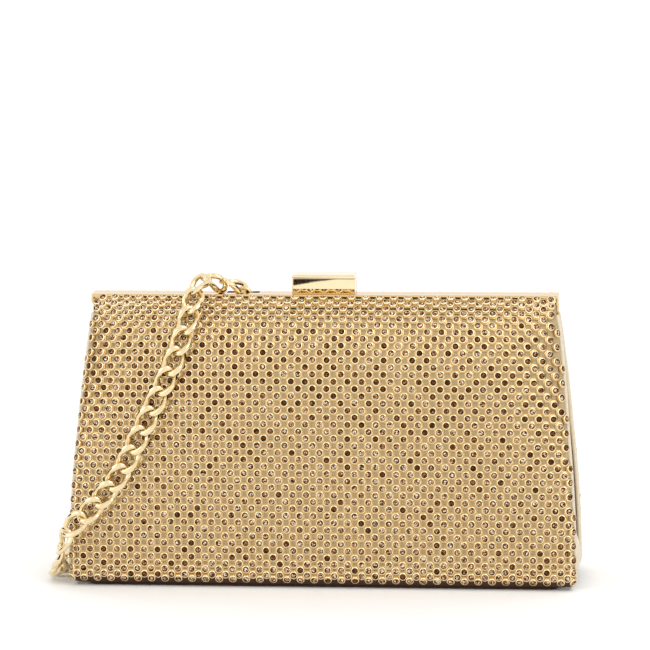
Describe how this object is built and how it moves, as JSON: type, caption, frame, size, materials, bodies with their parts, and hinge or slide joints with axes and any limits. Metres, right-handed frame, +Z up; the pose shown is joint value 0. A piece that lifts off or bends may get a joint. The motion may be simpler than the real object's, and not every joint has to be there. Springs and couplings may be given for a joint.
{
  "type": "evening bag",
  "caption": "Hard-framed evening clutch in crystal-set gold mesh, opening at a base hinge with a lift-lever clasp and a curb-chain strap.",
  "frame": {"origin": "middle of the base's underside, on the floor", "axes": "+X along the frame bar to the right seen from the front, -Y out of the front face, +Z up"},
  "size_m": [0.2134, 0.1361, 0.1247],
  "materials": {
    "frame_gold": "polished pale gold plate",
    "clasp_gold": "mirror-polished pale gold plate",
    "crystal_mesh": "pale gold link mesh set with champagne crystals",
    "board": "shaped board faced with greige cloth",
    "lining": "champagne satin",
    "leather": "smooth champagne leather",
    "chain_gold": "polished pale gold curb chain",
    "steel": "bright steel"
  },
  "bodies": {
    "front_half": {"front_frame": "frame_gold", "front_crystal_mesh": "crystal_mesh", "front_panel": "board", "front_lining": "lining", "front_piping": "leather", "slip_pocket": "lining", "base_cover": "leather", "base_board": "board", "base_lining": "lining", "gusset_left": "leather", "gusset_right": "leather", "gusset_lining_left": "lining", "gusset_lining_right": "lining", "base_hinge_leaf": "steel", "hinge_rod": "steel", "base_leaf_rivets": "steel", "front_clasp_block": "clasp_gold", "front_clasp_screws": "steel", "front_strap_lug": "frame_gold", "front_jump_ring": "chain_gold", "strap_front_run": "chain_gold", "strap_coil": "chain_gold"},
    "back_half": {"back_frame": "frame_gold", "back_crystal_mesh": "crystal_mesh", "back_panel": "board", "back_lining": "lining", "back_piping": "leather", "back_hinge_leaf": "steel", "back_leaf_rivets": "steel", "back_clasp_block": "clasp_gold", "back_clasp_screws": "steel", "clasp_pin": "steel", "clasp_spring": "steel", "back_strap_anchor": "frame_gold", "back_jump_ring": "chain_gold", "strap_rear_run": "chain_gold"},
    "lever": {"clasp_lever": "clasp_gold"}
  },
  "joints": [
    {"name": "mouth_hinge", "type": "hinge", "parent": "front_half", "child": "back_half", "pos_m": [0, 0.0205, 0.006], "axis": [-1, 0, 0], "range_deg": [0, 25]},
    {"name": "lever_lift", "type": "hinge", "parent": "back_half", "child": "lever", "pos_m": [0, 0.0075, 0.1209], "axis": [-1, 0, 0], "range_deg": [0, 40], "stiffness_Nm_per_rad": 0.004, "springref_deg": -28.65}
  ]
}
